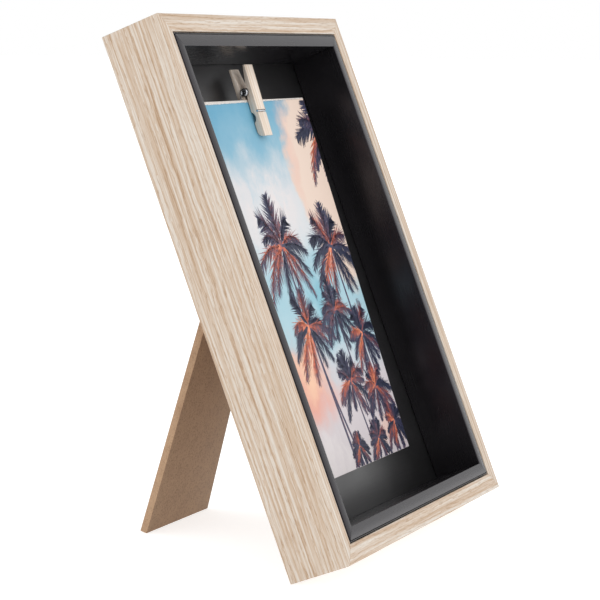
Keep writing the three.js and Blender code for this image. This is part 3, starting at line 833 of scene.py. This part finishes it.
def nail_slot(length, end):
    half = NAIL_SLOT_HALF
    along = end * (length / 2 - NAIL_INSET)
    return block(
        "nail_slot",
        (along - half, -NAIL_HEIGHT - NAIL_SLOT_ROOM, NAIL_INSET - NAIL_ARM - NAIL_SLOT_ROOM),
        (along + half, CUTTER_OVERRUN, NAIL_INSET + half),
    )


def tab_slot(along):
    return block(
        "tab_slot",
        (along - TAB_SLOT_HALF, TAB_SLOT_FRONT, RAIL_WIDTH - TAB_IN_RAIL),
        (along + TAB_SLOT_HALF, TAB_SLOT_REAR, RAIL_WIDTH + CUTTER_OVERRUN),
    )


def oak_member(side, kind, length, space, start):
    """A length of oak with eased long edges, slots for its nails and tabs, and mitred ends."""
    piece = block(f"{side}_oak_{kind}", (-length / 2, -FRAME_DEPTH, 0), (length / 2, 0, RAIL_WIDTH))
    with editing(piece):
        pick("EDGE", runs_across)
        bpy.ops.mesh.bevel(offset=OAK_ARRIS * MM, segments=OAK_ARRIS_STEPS, affect="EDGES")
    tools = [tab_slot(end * TABS_FROM_MIDDLE[kind]) for end in (-1, 1)]
    tools += [nail_slot(length, end) for end in (-1, 1)]
    cut_out(piece, *tools)
    mitre_ends(piece, length)
    smooth(set_in(piece, space))
    paint(piece, oak_material(side, space, start))
    hand_over(piece, "frame", "oak_finish", f"oak_{kind}_{side}")


# ------------------------------------------------------------------ Black liner


def liner_strip(side, length, space):
    """A liner strip: the lip that shows in front, and a fine bead in the groove beside it."""
    front, rear = -FRAME_DEPTH + GROOVE_DEPTH, PANEL_FRONT - FIT_GAP
    piece = block(
        f"{side}_liner",
        (-length / 2, front, LINER_OUTER_INSET), (length / 2, rear, LIP_INNER_INSET),
    )
    with editing(piece):
        for inset in (BEAD_LOW_INSET, BEAD_HIGH_INSET, LIP_OUTER_INSET):
            bpy.ops.mesh.select_all(action="SELECT")
            bpy.ops.mesh.bisect(plane_co=(0, 0, inset * MM), plane_no=(0, 0, 1))
        for low, high, recess in (
            (BEAD_LOW_INSET, BEAD_HIGH_INSET, BEAD_RECESS), (LIP_OUTER_INSET, LIP_INNER_INSET, 0),
        ):
            middle = (low + high) / 2
            pick("FACE", lambda face: faces_front(face) and near(face.calc_center_median().z, middle))
            bpy.ops.mesh.extrude_region_move(
                TRANSFORM_OT_translate={"value": (0, (recess - GROOVE_DEPTH) * MM, 0)}
            )
        for recess, arris, steps in (
            (0, LIP_ARRIS, LIP_ARRIS_STEPS), (BEAD_RECESS, BEAD_ARRIS, BEAD_ARRIS_STEPS),
        ):
            depth = recess - FRAME_DEPTH
            pick("EDGE", lambda edge: runs_across(edge) and near(edge.verts[0].co.y, depth))
            bpy.ops.mesh.bevel(offset=arris * MM, segments=steps, affect="EDGES")
    mitre_ends(piece, length)
    smooth(set_in(piece, space))
    paint(piece, lacquer_material(side, space))
    hand_over(piece, "frame", "black_lacquer", f"liner_{side}")


# ------------------------------------------------------------------ Back of the box


def sheet_in_frame(name, front, rear):
    side = FRAME_WIDTH / 2 - LINER_OUTER_INSET
    top = FRAME_HEIGHT - LINER_OUTER_INSET
    return block(name, (-side, front, LINER_OUTER_INSET), (side, rear, top))


def back_panel():
    piece = sheet_in_frame("panel_card", PANEL_FRONT, PANEL_FRONT + PANEL_THICKNESS)
    soften(piece, PANEL_EDGE)
    smooth(set_in(piece, FRAME_SPACE))
    paint(piece, card_material())
    hand_over(piece, "frame", "black_card", "back_panel")


def rivet_holes(length, y, z):
    """Two rods that cut the holes for a pair of rivets."""
    return [
        rod("rivet_hole", "Y", RIVET_HOLE_RADIUS, length, (x, y, z))
        for x in (-RIVET_SPREAD, RIVET_SPREAD)
    ]


def backing_board():
    piece = sheet_in_frame("board_sheet", BOARD_FRONT, BOARD_BACK)
    cut_out(piece, *rivet_holes(BOARD_HOLE_LENGTH, BOARD_FRONT, BOARD_RIVET_HEIGHT))
    soften(piece, BOARD_EDGE, degrees=BOARD_CORNER_DEGREES)
    smooth(set_in(piece, FRAME_SPACE))
    paint(piece, board_material("board_back", FRAME_SPACE, "A78B70", "9E8268", "6A523E"))
    hand_over(piece, "frame", "raw_board", "backing_board")


# ------------------------------------------------------------------ Easel leg


def is_sawn(face):
    """Whether a face of the leg is at one of its long edges, or at its top or foot."""
    at_side = abs(face.calc_center_median().x) > LEG_TOP_WIDTH / 2 * 0.9 * MM
    return abs(face.normal.z) > 0.7 or (abs(face.normal.y) < 0.5 and at_side)


def easel_leg():
    """A tapered board, widest at the foot. Its faces carry painted shade, in a colour darker than the backing
    board's, and its sawn edges are lighter.
    """
    half = LEG_TOP_WIDTH / 2
    piece = block(
        "leg_board",
        (-half, LEG_FRONT_FACE, -LEG_BELOW_PIN), (half, LEG_REAR_FACE, LEG_ABOVE_PIN),
    )
    with editing(piece):
        pick("FACE", lambda face: face.normal.z < -FACE_STRAIGHT)
        bpy.ops.transform.resize(value=(LEG_FOOT_WIDTH / LEG_TOP_WIDTH, 1, 1))
    cut_out(piece, *rivet_holes(2 * LEG_HOLE_DEPTH, LEG_REAR_FACE, LEG_RIVET_HEIGHT))
    soften(piece, LEG_EDGE, degrees=BOARD_CORNER_DEGREES)
    # The faces get a darker copy of the board's colour as painted shade, and the sawn edges get lighter colours.
    face = board_material("board_leg_painted_shade", LEG_SPACE, "9D836B", "937962", "584434")
    sawn = board_material("board_sawn_edge", LEG_SPACE, "BA9B7E", "A98A6F", "80634B")
    paint(piece, face, sawn)
    with editing(piece):
        pick("FACE", is_sawn)
        piece.active_material_index = 1
        bpy.ops.object.material_slot_assign()
    smooth(set_in(piece, LEG_SPACE))
    hand_over(piece, "easel_leg", "raw_board", "easel_leg")


# ------------------------------------------------------------------ Peg


def peg_back_at(height):
    """How far an arm's outer face stands from the print's front face."""
    share = (height - PEG_TIP) / (PEG_TOP - PEG_TIP)
    return PEG_BACK_TIP + share * (PEG_BACK_TOP - PEG_BACK_TIP)


def peg_arm(name):
    """The front arm: a rounded jaw, a seat for the coil, a notch for a line, and a groove for
    the wire across its outer face."""
    half, jaw = PEG_WIDTH / 2, -FIT_GAP
    piece = block(name, (-half, -PEG_BACK_TOP, PEG_TIP), (half, jaw, PEG_TOP))
    with editing(piece):
        pick("EDGE", lambda edge: runs_across(edge) and near(edge.verts[0].co.y, jaw)
             and near(edge.verts[0].co.z, PEG_TIP))
        bpy.ops.mesh.bevel(offset=JAW_ROUND * MM, segments=JAW_STEPS, affect="EDGES")
    taper = Vector((0, PEG_BACK_TIP - PEG_BACK_TOP, PEG_TOP - PEG_TIP)).normalized()
    slice_off(piece, (0, -PEG_BACK_TIP, PEG_TIP), (0, -taper.z, taper.y))
    handle = Vector((0, jaw + HANDLE_END_INNER, JAW_TOP - PEG_TOP)).normalized()
    slice_off(piece, (0, jaw, JAW_TOP), (0, -handle.z, handle.y))
    notch_centre = (0, jaw - NOTCH_DEPTH + NOTCH_RADIUS, NOTCH_HEIGHT)
    groove_y, groove_half = -peg_back_at(WIRE_GROOVE_HEIGHT), WIRE_GROOVE_SIZE / 2
    reach = half + CUTTER_OVERRUN
    cut_out(
        piece,
        rod("coil_seat", "X", COIL_SEAT_RADIUS, 2 * reach, (0, COIL_AXIS_Y, 0), PEG_BORE_SIDES),
        rod("line_notch", "X", NOTCH_RADIUS, 2 * reach, notch_centre, PEG_BORE_SIDES),
        block(
            "wire_groove",
            (-reach, groove_y - WIRE_GROOVE_DEPTH, WIRE_GROOVE_HEIGHT - groove_half),
            (reach, groove_y + WIRE_GROOVE_DEPTH, WIRE_GROOVE_HEIGHT + groove_half),
        ),
    )
    return soften(piece, PEG_EDGE)


def mirrored(piece, name):
    """A copy on the print's other side, with its own mesh."""
    activate(piece)
    bpy.ops.object.duplicate(linked=False)
    copy = named(bpy.context.object, name)
    with editing(copy):
        bpy.ops.mesh.select_all(action="SELECT")
        bpy.ops.transform.mirror(
            constraint_axis=(False, True, False), center_override=(0, COIL_AXIS_Y * MM, 0),
        )
        bpy.ops.mesh.normals_make_consistent(inside=False)
    return copy


def both_arms():
    birch = birch_material()
    front = peg_arm("front_peg_arm")
    rear = mirrored(front, "rear_peg_arm")
    for arm, body, node_name in ((front, "peg_arm", "peg_front_arm"), (rear, "frame", "peg_rear_arm")):
        smooth(set_in(arm, PEG_SPACE))
        paint(arm, birch)
        hand_over(arm, body, "birch", node_name)


def wire(name, points, body, node_name, material):
    """A bent wire along its centreline, with rounded ends."""
    bpy.ops.object.select_all(action="DESELECT")
    bpy.ops.curve.primitive_nurbs_path_add()
    piece = bpy.context.object
    piece.data.splines.clear()
    spline = piece.data.splines.new("POLY")
    spline.points.add(len(points) - 1)
    for place, point in zip(spline.points, points):
        place.co = (*(Vector(point) * MM), 1)
    piece.data.bevel_depth = WIRE_RADIUS * MM
    piece.data.bevel_resolution = WIRE_ROUNDNESS
    piece.data.use_fill_caps = True
    piece.data.twist_mode = "MINIMUM"
    activate(piece)
    bpy.ops.object.convert(target="MESH")
    piece = named(bpy.context.object, name)
    with editing(piece):
        bpy.ops.mesh.select_all(action="SELECT")
        bpy.ops.mesh.remove_doubles(threshold=MERGE_DISTANCE * MM)
        bpy.ops.mesh.normals_make_consistent(inside=False)
    smooth(set_in(piece, PEG_SPACE), WIRE_SMOOTH_DEGREES)
    paint(piece, material)
    hand_over(piece, body, "steel", node_name)


def coil_turn(angle, x):
    """A point of the coil. The angle goes round from the front, over the top."""
    turn = math.radians(angle)
    return (x, COIL_AXIS_Y - COIL_RADIUS * math.cos(turn), COIL_RADIUS * math.sin(turn))


def rounded_corner(before, corner, after):
    """Points of the bend in a tail that takes a corner's place."""
    before, corner, after = Vector(before), Vector(corner), Vector(after)
    start = corner + (before - corner).normalized() * TAIL_BEND_RADIUS
    end = corner + (after - corner).normalized() * TAIL_BEND_RADIUS
    shares = [step / TAIL_BEND_STEPS for step in range(TAIL_BEND_STEPS + 1)]
    return [tuple(start * (1 - s) ** 2 + corner * 2 * s * (1 - s) + end * s * s) for s in shares]


def tail_points(side):
    """From the coil down the arm's side, then across the groove in its outer face. The front
    arm's tail, side 1, is at the right, and the rear arm's, side -1, at the left."""
    top = (side * TAIL_BESIDE, COIL_AXIS_Y - side * COIL_RADIUS, 0)
    sunk = WIRE_RADIUS + WIRE_CLEARANCE
    groove_y = COIL_AXIS_Y - side * (peg_back_at(WIRE_GROOVE_HEIGHT) + COIL_AXIS_Y - sunk)
    corner = (side * TAIL_BESIDE, groove_y, WIRE_GROOVE_HEIGHT)
    end = (-side * (PEG_WIDTH / 2 - TAIL_END_SHORT), groove_y, WIRE_GROOVE_HEIGHT)
    return [top, *rounded_corner(top, corner, end), end]


def spring():
    """The coil with its rear tail, and the front tail with the coil's last turn."""
    steel = steel_material("spring_steel", "D2D3D6", "B5B7BB", base_roughness=0.2)
    first, last = -TAIL_BESIDE, PEG_WIDTH / 2 - WIRE_RADIUS
    steps = round(COIL_TURNS * 360 / COIL_STEP_DEGREES)
    coil = [
        coil_turn(COIL_START_DEGREES + COIL_STEP_DEGREES * step, first + (last - first) * step / steps)
        for step in range(1, steps + 1)
    ]
    wire("coil_and_rear_tail", [*reversed(tail_points(-1)), *coil], "frame", "peg_spring", steel)
    lead_in = [
        coil_turn(-COIL_STEP_DEGREES * step, TAIL_BESIDE) for step in range(LEAD_IN_STEPS, 0, -1)
    ]
    wire("front_tail", [*lead_in, *tail_points(1)], "peg_arm", "peg_spring_tail", steel)


def peg_pad():
    """A foam pad that carries the peg off the back panel, wedge-shaped behind the leaning arm."""
    lean = math.radians(PRINT_LEAN_DEGREES)
    rear = PANEL_FRONT - FIT_GAP
    bottom = Vector((PRINT_BOTTOM_DEPTH - FRAME_DEPTH, PRINT_BOTTOM))
    behind = []
    for height in (PAD_LOW, PAD_HIGH):
        out = PRINT_THICKNESS + peg_back_at(height) + FIT_GAP
        up = PEG_ABOVE_PRINT_BOTTOM + height
        behind.append(bottom + Vector((
            out * math.cos(lean) - up * math.sin(lean), out * math.sin(lean) + up * math.cos(lean),
        )))
    low, high = behind
    front = high.x - CUTTER_OVERRUN
    piece = block("foam_pad", (-PAD_HALF_WIDTH, front, low.y), (PAD_HALF_WIDTH, rear, high.y))
    slope = (high - low).normalized()
    slice_off(piece, (0, low.x, low.y), (0, -slope.y, slope.x))
    soften(piece, PAD_EDGE, PAD_EDGE_STEPS)
    smooth(set_in(piece, FRAME_SPACE), PAD_SMOOTH_DEGREES)
    paint(piece, foam_material())
    hand_over(piece, "frame", "foam", "peg_pad")


# ------------------------------------------------------------------ Print


def photo_print():
    """The card: its printed face in front, and white edges and back."""
    half = PRINT_WIDTH / 2
    piece = block("print_card", (-half, 0, 0), (half, PRINT_THICKNESS, PRINT_HEIGHT))
    soften(piece, CARD_EDGE, segments=1)
    paint(piece, paper_material(), sky_material())
    with editing(piece):
        pick("FACE", faces_front)
        piece.active_material_index = 1
        bpy.ops.object.material_slot_assign()
    smooth(set_in(piece, PRINT_SPACE))
    hand_over(piece, "print", "printed_card", "photo_print")


def ink_shape(mesh, glow, depth, corners, shades):
    """One flat shape of ink, with how brightly each of its corners is lit."""
    verts = [mesh.verts.new(Vector((x, -depth, z)) * MM) for x, z in corners]
    for vert, shade in zip(verts, shades):
        vert[glow] = shade
    mesh.faces.new(verts)


def frond(mesh, glow, draw, crown, angle, reach, depth):
    """One feathered frond: a rib that rises, arches over and hangs, with leaflets on both sides."""
    run = Vector((math.cos(angle), math.sin(angle)))
    droop = draw.uniform(*FROND_DROOPS) * reach * abs(run.x)
    run.y *= FROND_RISE
    lit = draw.choice(SUNNY_SHADES if run.x < SUNNY_UP_TO else DIM_SHADES)

    def rib(share):
        sunk = Vector((0, -droop * share ** FROND_DROOP_POWER))
        return crown + run * reach * share * (1 - FROND_ARCH * share) + sunk

    ribs = [rib(step / RIB_STEPS) for step in range(RIB_STEPS + 1)]
    for step in range(RIB_STEPS):
        here, there = ribs[step], ribs[step + 1]
        aside = (there - here).normalized().orthogonal() * reach * RIB_HALF
        wide, thin = aside * (1.2 - step / RIB_STEPS), aside * (1.2 - (step + 1) / RIB_STEPS)
        corners = [here - wide, there - thin, there + thin, here + wide]
        ink_shape(mesh, glow, depth, corners, [lit + RIB_SHINE] * 4)
    for number in range(LEAFLETS):
        share = FIRST_LEAFLET + (1 - FIRST_LEAFLET) * number / (LEAFLETS - 1)
        base, ahead = rib(share), rib(min(share + 0.05, 1.05))
        along = (ahead - base).normalized()
        swell = math.sin(math.pi * min(1, share * 0.8 + 0.16))
        length = reach * (LEAFLET_SHORTEST + LEAFLET_SWELL * swell)
        for side in (-1, 1):
            out = Vector((-along.y, along.x)) * side
            lay = along * 0.8 + out * draw.uniform(*LEAFLET_SPREADS) + Vector((0, -LEAFLET_HANG))
            tip = base + lay.normalized() * length * draw.uniform(*LEAFLET_SIZES)
            half = along * reach * LEAFLET_HALF
            shade = lit * (1.2 - 0.7 * share) + (UPPER_SHINE if out.y > 0 else LOWER_SHINE)
            corners = [base - half, base + half, tip]
            ink_shape(mesh, glow, depth, corners, [shade, shade, shade + TIP_SHINE])


def trunk(mesh, glow, crown, foot, width, depth):
    """A thin trunk that bows a little between the crown and the print's bottom edge."""
    base = Vector((foot, -2))
    bow = Vector(((crown.x - foot) * TRUNK_LEAN_BOW + TRUNK_BOW, 0))
    shares = [step / TRUNK_STEPS for step in range(TRUNK_STEPS + 1)]
    places = [base.lerp(crown, share) + bow * math.sin(math.pi * share) for share in shares]
    for step in range(TRUNK_STEPS):
        here, there = places[step], places[step + 1]
        wide = Vector((width * (1 - TRUNK_TAPER * step), 0))
        thin = wide * (1 - TRUNK_TAPER)
        corners = [here - wide, here + wide, there + thin, there - thin]
        ink_shape(mesh, glow, depth, corners, TRUNK_SHADES)


def printed_palms():
    """The palms, as thin layers of ink that stand on the card and are rooted in it."""
    draw = random.Random(PALM_SEED)
    mesh = bmesh.new()
    glow = mesh.verts.layers.float.new("glow")
    for number, (x, z, reach, foot) in enumerate(PALMS):
        crown, depth = Vector((x, z)), FIRST_LAYER + PALM_LAYER * number
        trunk(mesh, glow, crown, foot, TRUNK_HALF * reach, depth)
        for count in range(FRONDS):
            fan_share = (count * FROND_SKIP % FRONDS) / (FRONDS - 1)
            sway = draw.uniform(-FROND_SWAY_DEGREES, FROND_SWAY_DEGREES)
            angle = math.radians(FROND_START_DEGREES + FROND_FAN_DEGREES * fan_share + sway)
            size = reach * draw.uniform(*FROND_SIZES)
            frond(mesh, glow, draw, crown, angle, size, depth + FROND_LAYER * (count + 1))
    data = bpy.data.meshes.new("print_palms")
    mesh.to_mesh(data)
    mesh.free()
    piece = bpy.data.objects.new("print_palms", data)
    bpy.context.scene.collection.objects.link(piece)
    side, top = PRINT_WIDTH / 2 - INK_BORDER, PRINT_HEIGHT - TORN_MARGIN_LEFT
    with editing(piece):
        bpy.ops.mesh.select_all(action="SELECT")
        bpy.ops.mesh.normals_make_consistent(inside=False)
        pick("FACE", lambda face: face.normal.y > 0)
        bpy.ops.mesh.flip_normals()
        for point, normal in (
            ((side, 0, 0), (1, 0, 0)), ((-side, 0, 0), (-1, 0, 0)),
            ((0, 0, INK_BORDER), (0, 0, -1)), ((0, 0, top), (0, 0, 1)),
        ):
            bpy.ops.mesh.select_all(action="SELECT")
            bpy.ops.mesh.bisect(plane_co=Vector(point) * MM, plane_no=normal, clear_outer=True)
    apply_modifier(piece, "SOLIDIFY", thickness=INK_ROOT * MM, offset=-1)
    set_in(piece, PRINT_SPACE)
    paint(piece, palm_material())
    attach(piece, "print")


# ------------------------------------------------------------------ Steel fittings


def finished_copy(node_name, body, edge, material):
    """A merged copy of a fitting, with its edges eased."""
    source = frame["nodes"][node_name]
    data = source.data.copy()
    piece = bpy.data.objects.new(node_name + "_finished", data)
    bpy.context.scene.collection.objects.link(piece)
    with editing(piece):
        bpy.ops.mesh.select_all(action="SELECT")
        bpy.ops.mesh.customdata_custom_splitnormals_clear()
        bpy.ops.mesh.remove_doubles(threshold=MERGE_DISTANCE * MM)
        bpy.ops.mesh.dissolve_limited(angle_limit=math.radians(1))
    soften(piece, edge, degrees=STEEL_CORNER_DEGREES)
    smooth(piece, STEEL_CORNER_DEGREES)
    paint(piece, material)
    hand_over(piece, body, "steel", node_name)


def fittings():
    plated = steel_material("plated_steel", "C2C3C5", "B4B5B8", base_roughness=0.3)
    tabs = [f"back_tab_{side}_{count}" for side, *_ in RING for count in (1, 2)]
    nails = [f"corner_nail_{rail}_{side}" for rail in ("bottom", "top") for side in ("left", "right")]
    for name in tabs + nails:
        finished_copy(name, "frame", TAB_AND_NAIL_EDGE, plated)
    for name in ("hinge_board_leaf", "hinge_pin", "board_rivet_left", "board_rivet_right"):
        finished_copy(name, "frame", HINGE_EDGE, plated)
    for name in ("hinge_leg_leaf", "leg_rivet_left", "leg_rivet_right"):
        finished_copy(name, "easel_leg", HINGE_EDGE, plated)


# ------------------------------------------------------------------ Building the object

for side, kind, length, x, z, turn in RING:
    space = shifted(FRAME_SPACE, x, 0, z) @ Matrix.Rotation(turn, 4, "Y")
    oak_member(side, kind, length, space, GRAIN_STARTS[side])
    liner_strip(side, length, space)
back_panel()
backing_board()
easel_leg()
both_arms()
spring()
peg_pad()
photo_print()
printed_palms()
fittings()

# ------------------------------------------------------------------ Floor, light and camera


def floor():
    bpy.ops.object.select_all(action="DESELECT")
    bpy.ops.mesh.primitive_plane_add(size=FLOOR_SIZE)
    piece = named(bpy.context.object, "floor")
    material = bpy.data.materials.new("pale_floor")
    material.use_nodes = True
    shader = material.node_tree.nodes["Principled BSDF"]
    shader.inputs["Base Color"].default_value = (FLOOR_GREY, FLOOR_GREY, FLOOR_GREY, 1)
    shader.inputs["Roughness"].default_value = 1.0
    shader.inputs["Specular IOR Level"].default_value = 0.0
    shader.inputs["Emission Color"].default_value = (1, 1, 1, 1)
    shader.inputs["Emission Strength"].default_value = FLOOR_GLOW
    paint(piece, material)


def key_light():
    """A square softbox that looks at the frame's middle."""
    bpy.ops.object.light_add(type="AREA", location=KEY_PLACE)
    lamp = bpy.context.object
    lamp.name = "key"
    lamp.data.size = KEY_SIZE
    lamp.data.energy = KEY_WATTS
    lamp.rotation_euler = (LIGHT_AIM - Vector(KEY_PLACE)).to_track_quat("-Z", "Y").to_euler()


def studio():
    world = bpy.data.worlds.new("studio")
    world.use_nodes = True
    background = world.node_tree.nodes["Background"]
    background.inputs["Color"].default_value = (1, 1, 1, 1)
    background.inputs["Strength"].default_value = 1.0
    bpy.context.scene.world = world
    key_light()
    bpy.context.scene.view_settings.view_transform = "Standard"


def camera():
    azimuth, pitch = math.radians(CAMERA_AZIMUTH_DEGREES), math.radians(CAMERA_PITCH_DEGREES)
    ahead = Vector((
        math.sin(azimuth) * math.cos(pitch), math.cos(azimuth) * math.cos(pitch), math.sin(pitch),
    ))
    data = bpy.data.cameras.new("camera")
    data.sensor_width = SENSOR_WIDTH
    data.lens = CAMERA_LENS
    data.shift_x, data.shift_y = CAMERA_SHIFT
    data.clip_start, data.clip_end = CAMERA_CLIP
    seen = bpy.data.objects.new("camera", data)
    bpy.context.scene.collection.objects.link(seen)
    roll = Matrix.Rotation(math.radians(CAMERA_ROLL_DEGREES), 4, "Z")
    level = ahead.to_track_quat("-Z", "Y").to_matrix().to_4x4()
    seen.matrix_world = Matrix.Translation(CAMERA_AIM - ahead * CAMERA_DISTANCE) @ level @ roll
    bpy.context.scene.camera = seen


floor()
studio()
camera()
